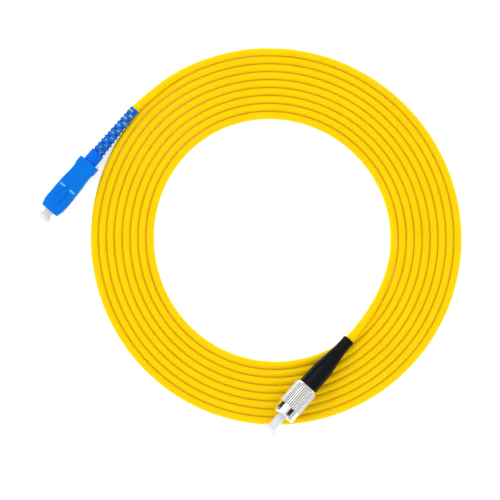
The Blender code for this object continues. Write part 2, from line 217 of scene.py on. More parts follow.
# Turned brass: warm yellow metal with tool lines
TURNED_BRASS = Finish("turned_brass", "D8B468", "CFA85C", 0.28, 0.06, 0.18, 3.0, 0.008, metallic=1.0,
                      stretch=(0.12, 0.12, 1.0))
# Drawn stainless wire: bright, with fine lines along it
SPRING_WIRE = Finish("drawn_stainless_wire", "B9BABD", "ABACB0", 0.25, 0.05, 0.15, 1.5, 0.004,
                     metallic=1.0)
# Annealed aluminium tube: soft grey metal, scuffed by the crimping tool
CRIMPED_ALUMINIUM = Finish("crimped_aluminium", "C4C5C8", "B5B6BA", 0.4, 0.08, 0.3, 2.0, 0.015,
                           metallic=1.0)
# Polished zirconia: dense white ceramic with a glassy surface
ZIRCONIA = Finish("polished_zirconia", "F1EFE8", "ECEAE2", 0.1, 0.02, 0.5, 4.0, 0.001,
                  sockets={"IOR": 2.1, "Subsurface Weight": 0.2, "Subsurface Radius": (1.0, 0.9, 0.8),
                           "Subsurface Scale": 0.0006})
# Moulded glass-filled white polymer: matt and slightly grey
WHITE_PBT = Finish("moulded_white_pbt", "E4E4E0", "DADAD6", 0.45, 0.06, 0.3, 4.0, 0.012,
                   sockets={"IOR": 1.55})
# Extruded PTFE tube: white and waxy
PTFE_TUBE = Finish("extruded_ptfe", "EDEDEB", "E4E4E2", 0.4, 0.05, 0.4, 3.0, 0.006, sockets={"IOR": 1.35})
# Tight buffer of nylon on the fibre: thin yellow coat with a gloss
NYLON_BUFFER = Finish("extruded_nylon_buffer", "EBC21A", "E2B812", 0.3, 0.05, 0.3, 3.0, 0.004,
                      sockets={"IOR": 1.53})
# Aramid yarn: golden fibres laid along the neck, with a silky sheen
ARAMID = Finish("aramid_yarn", "D9B245", "B98F2C", 0.55, 0.12, 0.09, 0.8, 0.05, stretch=(1.0, 1.0, 0.08),
                sockets={"Sheen Weight": 0.3, "Sheen Roughness": 0.35})
# Matt white paper on a light table, so shadows on it stay faint
WHITE_PAPER = Finish("backlit_white_paper", "FAFAFA", "F9F9F9", 0.85, 0.05, 0.5, 60.0, 0.01,
                     sockets={"Emission Color": (1.0, 1.0, 1.0, 1.0), "Emission Strength": 0.38})


# Shapes


def with_finish(piece: bpy.types.Object, finish: Finish) -> bpy.types.Object:
    """Gives a piece one finish.

    Args:
        piece: a mesh or curve object.
        finish: its finish.

    Returns:
        The piece.
    """
    piece.data.materials.clear()
    piece.data.materials.append(finish.material())
    return piece


def add_second_finish(piece: bpy.types.Object, finish: Finish,
                      is_chosen: Callable[[float, float], bool]) -> None:
    """Gives some faces of a piece on a plug's axis a second finish.

    Args:
        piece: a mesh object that has its first finish.
        finish: the second one.
        is_chosen: tells from a face's distance behind the front and its radius whether it is chosen.
    """
    piece.data.materials.append(finish.material())
    for face in piece.data.polygons:
        if is_chosen(face.center.z / MM, face.center.xy.length / MM):
            face.material_index = 1


def linked(name: str, data: bpy.types.ID) -> bpy.types.Object:
    """Puts new data in the scene as an object."""
    piece = bpy.data.objects.new(name, data)
    bpy.context.scene.collection.objects.link(piece)
    return piece


def shaded(piece: bpy.types.Object, sharp_degrees: float = 38.0) -> bpy.types.Object:
    """Shades a mesh piece smooth, keeps its sharp edges and evens the normals of its large faces.

    Args:
        piece: a mesh object.
        sharp_degrees: edges that bend more than this stay sharp.

    Returns:
        The piece.
    """
    piece.data.shade_smooth()
    piece.data.set_sharp_from_angle(angle=math.radians(sharp_degrees))
    weighted = piece.modifiers.new("even_normals", "WEIGHTED_NORMAL")
    weighted.keep_sharp = True
    return piece


def rings_mesh(name: str, rings: Sequence[Sequence[Vector]], is_closed: bool) -> bpy.types.Mesh:
    """Bridges rings of the same number of points into a mesh.

    Args:
        name: the mesh's name.
        rings: rings of points in millimetres. A ring may be one point at an end of an open row.
        is_closed: whether the last ring joins the first.

    Returns:
        The mesh, facing outwards.
    """
    cage = bmesh.new()
    made = [[cage.verts.new(point * MM) for point in ring] for ring in rings]
    pairs = list(zip(made, made[1:])) + ([(made[-1], made[0])] if is_closed else [])
    for first, second in pairs:
        for i in range(max(len(first), len(second))):
            a, b = first[i % len(first)], first[(i + 1) % len(first)]
            c, d = second[(i + 1) % len(second)], second[i % len(second)]
            corners = list(dict.fromkeys((a, b, c, d)))
            if len(corners) > 2:
                cage.faces.new(corners)
    bmesh.ops.recalc_face_normals(cage, faces=cage.faces)
    mesh = bpy.data.meshes.new(name)
    cage.to_mesh(mesh)
    cage.free()
    return mesh


def round_axis(turn: float, radius: float, place: float) -> Vector:
    """A point round an axis from the turn in radians, the radius and the place along the axis."""
    return Vector((radius * math.cos(turn), radius * math.sin(turn), place))


def filleted(profile: Profile, radius: float, is_closed: bool) -> list[tuple[float, float]]:
    """Rounds the corners of a profile.

    Args:
        profile: its corners.
        radius: the fillet, cut down where an edge is short.
        is_closed: whether the last corner joins the first. The ends of an open profile stay sharp.

    Returns:
        The rounded profile.
    """
    corners = [Vector(corner) for corner in profile]
    rounded: list[tuple[float, float]] = []
    for i, corner in enumerate(corners):
        if not is_closed and i in (0, len(corners) - 1):
            rounded.append(tuple(corner))
            continue
        before, after = corners[i - 1] - corner, corners[(i + 1) % len(corners)] - corner
        reach = min(radius, FILLET_SHARE * before.length, FILLET_SHARE * after.length)
        start, end = corner + before.normalized() * reach, corner + after.normalized() * reach
        for t in (0.0, 1 / 3, 2 / 3, 1.0):
            rounded.append(tuple((1 - t) ** 2 * start + 2 * t * (1 - t) * corner + t * t * end))
    return rounded


def turned_piece(name: str, outer: Profile, bore: Profile = (), fillet: float = 0.12,
                 facets: int = 64) -> bpy.types.Object:
    """A piece turned about local Z, from (distance behind the front, radius) listed front to rear.

    Args:
        name: the piece's name.
        outer: the outside.
        bore: the inside. A solid piece has none, and its outside starts and ends on the axis.
        fillet: the rounding of every corner.
        facets: facets round the piece.

    Returns:
        The piece.
    """
    corners = [*outer, *reversed(bore)]
    is_tube = min(radius for _, radius in corners) > 0
    rings = []
    for place, radius in filleted(corners, fillet, is_tube):
        count = facets if radius > 1e-6 else 1
        rings.append([round_axis(TURN * i / facets, radius, place) for i in range(count)])
    return shaded(linked(name, rings_mesh(name, rings, is_tube)))


def rounded_section(half_width: float, half_height: float, corner: float, place: float,
                    per_corner: int = 9) -> list[Vector]:
    """A ring of points round a rectangle with round corners.

    Args:
        half_width: half its size across the plug.
        half_height: half its size upwards.
        corner: the radius of its corners.
        place: its distance behind the front.
        per_corner: points in each corner.

    Returns:
        The points, counted from the first corner.
    """
    points = []
    for quarter in range(4):
        side_x, side_y = ((1, 1), (-1, 1), (-1, -1), (1, -1))[quarter]
        for i in range(per_corner):
            angle = TURN / 4 * (quarter + i / (per_corner - 1))
            points.append(Vector((side_x * (half_width - corner) + corner * math.cos(angle),
                                  side_y * (half_height - corner) + corner * math.sin(angle), place)))
    return points


def block_piece(name: str, boxes: Iterable[Box], bevel: float = 0.0) -> bpy.types.Object:
    """Boxes in one mesh, with rounded edges where a bevel is given.

    Args:
        name: the piece's name.
        boxes: each (size x, size y, span along the plug, offset to +Y, turn about the axis).
        bevel: the radius of the edges.

    Returns:
        The piece.
    """
    cage = bmesh.new()
    for width, height, (start, end), offset, turn in boxes:
        place = (Matrix.Rotation(math.radians(turn), 4, "Z")
                 @ Matrix.Translation(Vector((0.0, offset, (start + end) / 2)) * MM)
                 @ Matrix.Diagonal((width * MM, height * MM, (end - start) * MM, 1.0)))
        bmesh.ops.create_cube(cage, size=1.0, matrix=place)
    if bevel:
        bmesh.ops.bevel(cage, geom=cage.edges[:], offset=bevel * MM, segments=3, profile=0.5,
                        affect="EDGES")
    mesh = bpy.data.meshes.new(name)
    cage.to_mesh(mesh)
    cage.free()
    return shaded(linked(name, mesh))


def shift_across(piece: bpy.types.Object, distance: float) -> None:
    """Moves a mesh piece's shape along local X by a distance in millimetres."""
    piece.data.transform(Matrix.Translation((distance * MM, 0.0, 0.0)))


def cut(piece: bpy.types.Object, cutter: bpy.types.Object) -> bpy.types.Object:
    """Cuts one mesh piece with another, which is used up.

    Args:
        piece: what is cut.
        cutter: what it is cut with.

    Returns:
        The cut piece.
    """
    normals = piece.modifiers.get("even_normals")
    piece.modifiers.remove(normals)
    boolean = piece.modifiers.new("cut", "BOOLEAN")
    boolean.object = cutter
    boolean.solver = "EXACT"
    bpy.context.view_layer.update()
    graph = bpy.context.evaluated_depsgraph_get()
    old, piece.data = piece.data, bpy.data.meshes.new_from_object(piece.evaluated_get(graph))
    piece.data.name = piece.name
    piece.modifiers.clear()
    bpy.data.meshes.remove(old)
    bpy.data.objects.remove(cutter)
    return shaded(piece)


def wire_piece(name: str, points: Sequence[Vector], radius: float, roundness: int) -> bpy.types.Object:
    """A round wire or cord on one open spline.

    Args:
        name: the piece's name.
        points: its middle line in millimetres.
        radius: its radius in millimetres.
        roundness: the bevel resolution.

    Returns:
        The piece.
    """
    curve = bpy.data.curves.new(name, "CURVE")
    curve.dimensions = "3D"
    curve.bevel_depth = radius * MM
    curve.bevel_resolution = roundness
    curve.use_fill_caps = True
    curve.twist_mode = "MINIMUM"
    spline = curve.splines.new("POLY")
    spline.points.add(len(points) - 1)
    for point, place in zip(spline.points, points):
        point.co = (*(place * MM), 1.0)
    spline.use_smooth = True
    return linked(name, curve)


def drawn_mesh(piece: bpy.types.Object) -> bpy.types.Object:
    """Turns a curve piece into the mesh that it draws.

    Args:
        piece: the curve object, which is used up.

    Returns:
        The mesh object, with the same name.
    """
    bpy.context.view_layer.update()
    graph = bpy.context.evaluated_depsgraph_get()
    mesh = bpy.data.meshes.new_from_object(piece.evaluated_get(graph))
    name = piece.name
    bpy.data.objects.remove(piece)
    return shaded(linked(name, mesh))


def smooth_line(route: Sequence[Vector], steps: int) -> list[Vector]:
    """A smooth curve through the points of a route.

    Args:
        route: its points.
        steps: pieces between two of them.

    Returns:
        The points of the curve.
    """
    ends = [2 * route[0] - route[1], *route, 2 * route[-1] - route[-2]]
    line = []
    for before, start, end, after in zip(ends, ends[1:], ends[2:], ends[3:]):
        for t in (i / steps for i in range(steps)):
            line.append(0.5 * (2 * start + (end - before) * t
                               + (2 * before - 5 * start + 4 * end - after) * t ** 2
                               + (3 * start - before - 3 * end + after) * t ** 3))
    return [*line, route[-1]]


# Sub-assemblies


@dataclass
class PlugAxis:
    """Where a plug lies: its front, measured from the coil's middle, its heading and its fall."""

    front: Vector
    heading: float
    fall: float

    def matrix(self, coil_middle: Vector) -> Matrix:
        """The plug's place in the world.

        Args:
            coil_middle: the coil's middle in millimetres.

        Returns:
            A matrix that takes the plug's metres to the world.
        """
        turn = (Matrix.Rotation(math.radians(90 + self.heading), 4, "Z")
                @ Matrix.Rotation(math.radians(90 + self.fall), 4, "X"))
        return Matrix.Translation((coil_middle + self.front) * MM) @ turn


@dataclass(frozen=True)
class Bulge:
    """A stretch where the coil's turns lean outwards, the outermost turn most.

    The middle and the spread are angles round the coil in degrees. The lean falls evenly with the
    turns and is gone at the last one.
    """

    lean: float
    middle: float
    spread: float
    last_turn: float

    def at(self, angle: float, turns: float) -> float:
        """How far the turns lean at an angle in degrees and a number of turns from the start."""
        away = math.remainder(angle - self.middle, 360) / self.spread
        return self.lean * math.exp(-away ** 2) * (1 - turns / self.last_turn)


@dataclass
class Cord:
    """The cord from boot to boot: a lead, the flat coil and the other lead.

    The soft jacket stands a swell proud of its nominal radius, so the turns nearly touch. A wave is
    how often it comes round the coil and its cosine and sine parts. A place on a lead's route is an
    angle round the coil in degrees, a radius and a height.
    """

    middle: Vector = field(default_factory=lambda: Vector((31.5, 12.8, 0.0)))
    radius: float = 1.5
    swell: float = 0.08
    reach_into_boot: float = 0.2
    first_radius: float = 74.805
    pitch: float = 3.1678
    start_angle: float = 137.0
    coil_turns: tuple[float, float] = (0.115, 8.40)
    coil_step: float = 10.0
    steps_per_point: int = 4
    roundness: int = 6
    waves: tuple[tuple[int, float, float], ...] = ((2, -0.179, -0.373), (3, 0.185, 0.0))
    bulge: Bulge = Bulge(0.62, 133.0, 16.0, 9.0)
    sc_route: tuple[tuple[float, float, float], ...] = (
        (134.4, 75.52, 3.67), (130.5, 75.30, 3.48), (125.5, 75.42, 2.98), (120.5, 75.46, 2.38),
        (115.5, 75.37, 1.86), (110.5, 75.19, 1.58), (105.5, 75.03, 1.51), (101.0, 74.90, 1.51))
    fc_route: tuple[tuple[float, float, float], ...] = (
        (309.6, 49.74, 5.42), (313.2, 49.30, 4.98), (318.0, 48.86, 4.22), (324.0, 48.50, 3.24),
        (330.0, 48.33, 2.36), (336.0, 48.24, 1.79), (342.0, 48.21, 1.55), (348.0, 48.24, 1.52))

    def polar(self, angle: float, radius: float, height: float) -> Vector:
        """A point round the coil's middle from an angle in degrees, a radius and a height."""
        return self.middle + round_axis(math.radians(angle), radius, height + self.swell)

    def coil_point(self, turns: float) -> Vector:
        """A point of the flat spiral.

        Args:
            turns: turns from its start, clockwise.

        Returns:
            The point in millimetres.
        """
        angle = self.start_angle - 360 * turns
        radius = self.first_radius - self.pitch * turns + self.bulge.at(angle, turns)
        for order, cosine, sine in self.waves:
            phase = order * math.radians(angle)
            radius += cosine * math.cos(phase) + sine * math.sin(phase)
        return self.polar(angle, radius, self.radius)

    def middle_line(self, sc_exit: Vector, fc_exit: Vector) -> list[Vector]:
        """The cord's middle line.

        Args:
            sc_exit: where it leaves the SC boot.
            fc_exit: where it enters the FC boot.

        Returns:
            Points in millimetres.
        """
        first, last = self.coil_turns
        count = round((last - first) * 360 / self.coil_step)
        coil = [self.coil_point(first + (last - first) * i / count) for i in range(count + 1)]
        route = [sc_exit, *(self.polar(*place) for place in self.sc_route), *coil,
                 *(self.polar(*place) for place in reversed(self.fc_route)), fc_exit]
        return smooth_line(route, self.steps_per_point)

    def build(self, sc_exit: Vector, fc_exit: Vector) -> bpy.types.Object:
        """Args:
            sc_exit: where it leaves the SC boot.
            fc_exit: where it enters the FC boot.

        Returns:
            The cord.
        """
        line = self.middle_line(sc_exit, fc_exit)
        length = sum((end - start).length for start, end in zip(line, line[1:])) * MM
        cord = with_finish(wire_piece("yellow_cord", line, self.radius + self.swell, self.roundness),
                           JACKET_PVC)
        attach(cord, Body.CORD.value)
        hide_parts("cable_coil", "cable_lead_sc", "cable_lead_fc")
        LOG.info("cord of %.3f m", length)
        return cord


@dataclass(frozen=True)
class TurnedPart:
    """A plain turned piece of a plug: its shape, its finish and the CAD node it stands for.

    The outside and the bore are (distance behind the front, radius), listed front to rear.
    """

    name: str
    node: str
    finish: Finish
    body: Body
    slot: str
    outer: Profile
    bore: Profile = ()
    fillet: float = 0.12
    facets: int = 64


@dataclass
class Plug:
    """What both plugs share: an axis, the way a piece is put on it, and the pieces inside.

    The prefix starts the name of the plug's spring. The spring eases its pitch by the closing share, which
    shuts its end coils.
    """

    coil_middle: Vector
    axis: PlugAxis
    boot_end: float
    prefix: str
    ferrule_parts: tuple[TurnedPart, ...]
    spring_seats: tuple[float, float]
    neck_parts: tuple[TurnedPart, ...]
    cap: TurnedPart
    ferrule_float: float = 0.8
    spring_radius: float = 1.75
    spring_wire_radius: float = 0.22
    spring_turns: float = 6.5
    spring_steps: int = 156
    spring_closing: float = 0.09

    def place(self, piece: bpy.types.Object, finish: Finish, body: Body, slot: str,
              *nodes: str) -> bpy.types.Object:
        """Dresses a piece and puts it on the plug's axis.

        Args:
            piece: the piece, made round the local axis.
            finish: its finish.
            body: the body it moves with.
            slot: its material slot in the record; not used.
            nodes: the CAD nodes it stands for.

        Returns:
            The piece.
        """
        with_finish(piece, finish)
        piece.matrix_world = self.axis.matrix(self.coil_middle)
        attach(piece, body.value)
        if nodes:
            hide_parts(*nodes)
        LOG.info("%s rides on %s", piece.name, body.value)
        return piece

    def cable_exit(self, reach: float) -> Vector:
        """The point just inside the boot where the cord starts.

        Args:
            reach: its distance inside the boot's end.

        Returns:
            The point in millimetres.
        """
        return self.axis.matrix(self.coil_middle) @ Vector((0.0, 0.0, (self.boot_end - reach) * MM)) / MM

    def build_turned(self, parts: Iterable[TurnedPart]) -> None:
        """Makes plain turned pieces and puts them on the plug's axis."""
        for part in parts:
            piece = turned_piece(part.name, part.outer, part.bore, part.fillet, part.facets)
            self.place(piece, part.finish, part.body, part.slot, part.node)

    def build_spring(self) -> None:
        """A compression spring with closed end coils."""
        start, end = self.spring_seats
        points = []
        for i in range(self.spring_steps + 1):
            share = i / self.spring_steps
            eased = share - self.spring_closing * math.sin(TURN * share)
            points.append(round_axis(TURN * self.spring_turns * share, self.spring_radius,
                                     start + (end - start) * eased))
        node = self.prefix + "_spring"
        spring = drawn_mesh(wire_piece(node + "_wire", points, self.spring_wire_radius, 3))
        self.place(spring, SPRING_WIRE, Body.CORD, "spring_steel", node)
        axis = self.axis.matrix(self.coil_middle)
        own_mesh(spring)

    def build_inside(self) -> None:
        """The ferrule and what moves with it, its spring, and the crimped neck."""
        self.build_turned(self.ferrule_parts)
        self.build_spring()
        self.build_turned(self.neck_parts)


@dataclass
class ScPlug(Plug):
    """The SC plug: a square push-pull housing, a slotted boot and a soft cap.

    A station of the housing or its cavity is a distance behind the front, half a width, half a
    height and a corner radius. The grip mark is its near and far side across the plug, and its start
    and end along it. The boot's slots lean to one side and the other in turn.
    """

    axis: PlugAxis = field(default_factory=lambda: PlugAxis(Vector((-89.42, 11.26, 3.7)), 49.9, 0.0))
    boot_end: float = 52.8
    prefix: str = "sc"
    housing_stations: tuple[tuple[float, float, float, float], ...] = (
        (0.0, 3.62, 3.32, 0.5), (0.14, 3.76, 3.44, 0.6), (1.5, 4.12, 3.62, 0.7), (2.9, 4.46, 3.7, 0.75),
        (3.2, 4.5, 3.7, 0.75), (9.5, 4.5, 3.7, 0.75), (14.0, 4.35, 3.7, 0.75), (17.8, 4.02, 3.7, 0.75),
        (18.3, 4.0, 3.7, 0.75), (20.7, 4.0, 3.7, 0.75), (20.95, 4.05, 3.7, 0.75), (21.5, 4.34, 3.7, 0.75),
        (21.8, 4.4, 3.7, 0.75), (24.6, 4.4, 3.7, 0.7), (24.8, 4.25, 3.55, 0.6))
    cavity_stations: tuple[tuple[float, float, float, float], ...] = (
        (24.8, 3.15, 3.15, 3.15), (21.6, 3.15, 3.15, 3.15), (21.3, 3.3, 3.1, 0.3), (0.3, 3.3, 3.1, 0.3),
        (0.0, 3.42, 3.18, 0.3))
    window: Box = (12.0, 4.0, (4.5, 9.5), 0.0, 0.0)
    key_ridge: Box = (2.2, 1.0, (3.5, 10.9), 3.9, 0.0)
    grip_mark: tuple[float, float, float, float] = (1.15, 3.65, 10.95, 11.7)
    frame_stations: tuple[tuple[float, float, float, float], ...] = (
        (0.5, 2.95, 2.8, 0.35), (0.65, 3.1, 2.95, 0.35), (20.35, 3.1, 2.95, 0.35), (20.5, 2.95, 2.8, 0.35))
    frame_bore: Profile = ((0.5, 2.35), (7.6, 2.35), (7.6, 1.45), (8.8, 1.45), (8.8, 2.42), (20.5, 2.42))
    latch_ear: Box = (1.0, 2.4, (7.0, 9.0), 0.0, 0.0)
    latch_ear_side: float = 3.4
    collar_outline: Profile = ((23.6, 2.72), (23.8, 2.85), (29.85, 2.85))
    ring_start: float = 29.5
    ring_radii: tuple[float, float] = (2.66, 1.88)
    boot_bore: Profile = ((23.6, 2.4), (27.6, 2.4), (28.1, 2.0), (29.6, 2.0), (29.9, 1.6), (52.8, 1.6))
    slot_start: float = 30.4
    slot_pitch: float = 1.91
    slot_count: int = 12
    slot_length: float = 0.8
    slot_width: float = 2.4
    slot_lean: float = 35.0
    slot_inset: float = 0.07
    groove_depth: float = 0.38
    groove_floor: float = 1.72
    bore_edge: float = 1.62
    ring_skin: float = 0.12
    ferrule_parts: tuple[TurnedPart, ...] = (
        TurnedPart("sc_ceramic_ferrule", "sc_ferrule", ZIRCONIA, Body.SC_FERRULE, "ferrule",
                   ((-1.2, 0.0), (-1.2, 0.9), (-0.8, 1.25), (11.9, 1.25), (11.9, 0.0)), fillet=0.1),
        TurnedPart("sc_collar", "sc_ferrule_flange", NICKEL_PLATE, Body.SC_FERRULE, "nickel",
                   ((8.95, 1.9), (9.3, 2.2), (11.4, 2.2), (11.6, 1.35), (14.5, 1.35)),
                   ((8.95, 1.3), (12.0, 1.3), (12.0, 0.5), (14.5, 0.5))),
        TurnedPart("sc_inner_tube", "sc_guide_tube", PTFE_TUBE, Body.SC_FERRULE, "guide_tube",
                   ((14.7, 0.8), (21.5, 0.8)), ((14.7, 0.55), (21.5, 0.55)), 0.05, 32),
        TurnedPart("sc_buffered_fibre", "sc_buffer", NYLON_BUFFER, Body.SC_FERRULE, "fiber_buffer",
                   ((12.2, 0.0), (12.2, 0.45), (33.0, 0.45), (33.0, 0.0)), (), 0.05, 24))
    spring_seats: tuple[float, float] = (11.9, 17.6)
    neck_parts: tuple[TurnedPart, ...] = (
        TurnedPart("sc_crimp_neck", "sc_rear_body", TURNED_BRASS, Body.CORD, "rear_body",
                   ((18.0, 2.35), (21.8, 2.35), (22.0, 1.75), (27.0, 1.75)), ((18.0, 1.0), (27.0, 1.0))),
        TurnedPart("sc_strength_yarn", "sc_aramid_yarn", ARAMID, Body.CORD, "aramid_yarn",
                   ((22.9, 1.95), (27.1, 1.95)), ((22.9, 1.83), (27.1, 1.83)), 0.03, 48),
        TurnedPart("sc_crimped_sleeve", "sc_crimp_sleeve", CRIMPED_ALUMINIUM, Body.CORD, "crimp_sleeve",
                   ((22.6, 2.25), (27.4, 2.25), (27.9, 1.9), (29.4, 1.9)),
                   ((22.6, 2.02), (27.2, 2.02), (27.7, 1.58), (29.4, 1.58))),
        TurnedPart("sc_jacket_in_boot", "sc_jacket_end", JACKET_PVC, Body.CORD, "cable_jacket",
                   ((28.3, 1.5), (52.5, 1.5)), ((28.3, 1.0), (52.5, 1.0)), 0.05))
    cap: TurnedPart = TurnedPart(
        "sc_milky_cap", "sc_dust_cap", MILKY_PE, Body.SC_CAP, "dust_cap",
        ((-4.6, 0.0), (-4.6, 2.5), (-4.3, 2.85), (-2.5, 2.85), (-2.3, 2.0), (6.0, 1.85)),
        ((-2.2, 0.0), (-2.2, 1.32), (6.0, 1.32)), 0.15)

    def build_housing(self) -> None:
        """The blue outer housing, its key ridge and its two grip marks, whose pale blue is a painted
        highlight.
        """
        rings = [rounded_section(width, height, corner, place)
                 for place, width, height, corner in (*self.housing_stations, *self.cavity_stations)]
        housing = shaded(linked("sc_housing_shell", rings_mesh("sc_housing_shell", rings, True)), 50.0)
        cut(housing, block_piece("window_cutter", [self.window]))
        self.place(housing, HOUSING_PBT, Body.SC_HOUSING, "sc_housing", "sc_grip")
        ridge = block_piece("sc_key_ridge", [self.key_ridge], 0.3)
        self.place(ridge, HOUSING_PBT, Body.SC_HOUSING, "sc_housing")
        inner, outer, start, end = self.grip_mark
        for side, name in ((-1, "sc_grip_mark_right"), (1, "sc_grip_mark_left")):
            mark = block_piece(name, [(outer - inner, 0.3, (start, end), 3.67, 0.0)], 0.08)
            shift_across(mark, side * (inner + outer) / 2)
            # The marks' pale blue is a painted highlight on their raised tops.
            self.place(mark, HIGHLIGHT_PBT, Body.SC_HOUSING, "sc_housing")

    def build_frame(self) -> None:
        """The white inner frame with its two latch ears."""
        rings = [rounded_section(width, height, corner, place)
                 for place, width, height, corner in self.frame_stations]
        rings += [rounded_section(radius, radius, radius, place)
                  for place, radius in reversed(self.frame_bore)]
        frame = shaded(linked("sc_inner_frame", rings_mesh("sc_inner_frame", rings, True)))
        self.place(frame, WHITE_PBT, Body.CORD, "plug_frame", "sc_plug_frame")
        for side, name in ((-1, "sc_latch_ear_right"), (1, "sc_latch_ear_left")):
            ear = block_piece(name, [self.latch_ear], 0.12)
            shift_across(ear, side * self.latch_ear_side)
            self.place(ear, WHITE_PBT, Body.CORD, "plug_frame")

    def boot_radius(self, place: float) -> float:
        """The radius of the slotted part's rings at a distance behind the front."""
        first, last = self.ring_radii
        return first - (place - self.ring_start) * (first - last) / (self.boot_end - self.ring_start)

    def is_groove(self, place: float, radius: float) -> bool:
        """Whether a face of the boot lies in a groove or a slot.

        Args:
            place: its distance behind the front.
            radius: its distance from the axis.

        Returns:
            True in a groove or a slot.
        """
        nearest = round((place - self.slot_start) / self.slot_pitch)
        offset = place - self.slot_start - self.slot_pitch * nearest
        return (0 <= nearest < self.slot_count and abs(offset) <= self.slot_length / 2
                and self.bore_edge < radius < self.boot_radius(place) - self.ring_skin)

    def boot_outline(self) -> list[tuple[float, float]]:
        """The boot's outer profile: a plain collar, then a taper with a groove at every slot."""
        outline = list(self.collar_outline)
        for i in range(self.slot_count):
            middle = self.slot_start + self.slot_pitch * i
            front, rear = middle - self.slot_length / 2, middle + self.slot_length / 2
            depth = min(self.groove_depth, self.boot_radius(middle) - self.groove_floor)
            before, after = self.boot_radius(front), self.boot_radius(rear)
            outline += [(front - 0.05, before), (front, before - depth), (rear, after - depth),
                        (rear + 0.05, after)]
        return [*outline, (self.boot_end, self.boot_radius(self.boot_end))]

    def build_boot(self) -> None:
        """The slotted blue boot, with painted shade on the faces in its grooves and slots."""
        boot = turned_piece("sc_slotted_boot", self.boot_outline(), self.boot_bore, 0.08)
        reach = self.slot_length / 2 - self.slot_inset
        slots = []
        for i in range(self.slot_count):
            middle = self.slot_start + self.slot_pitch * i
            lean = self.slot_lean if i % 2 == 0 else -self.slot_lean
            slots.append((self.slot_width, 8.0, (middle - reach, middle + reach), 0.0, lean))
        boot = cut(boot, block_piece("slot_cutter", slots))
        self.place(boot, BLUE_TPE, Body.CORD, "sc_boot", "sc_boot")
        # Painted shade: the faces in the grooves and slots take the darker blue.
        add_second_finish(boot, BLUE_TPE_GROOVE_SHADE, self.is_groove)

    def build(self) -> None:
        """Makes the whole SC plug."""
        self.build_housing()
        self.build_frame()
        self.build_boot()
        self.build_inside()
        self.build_turned([self.cap])


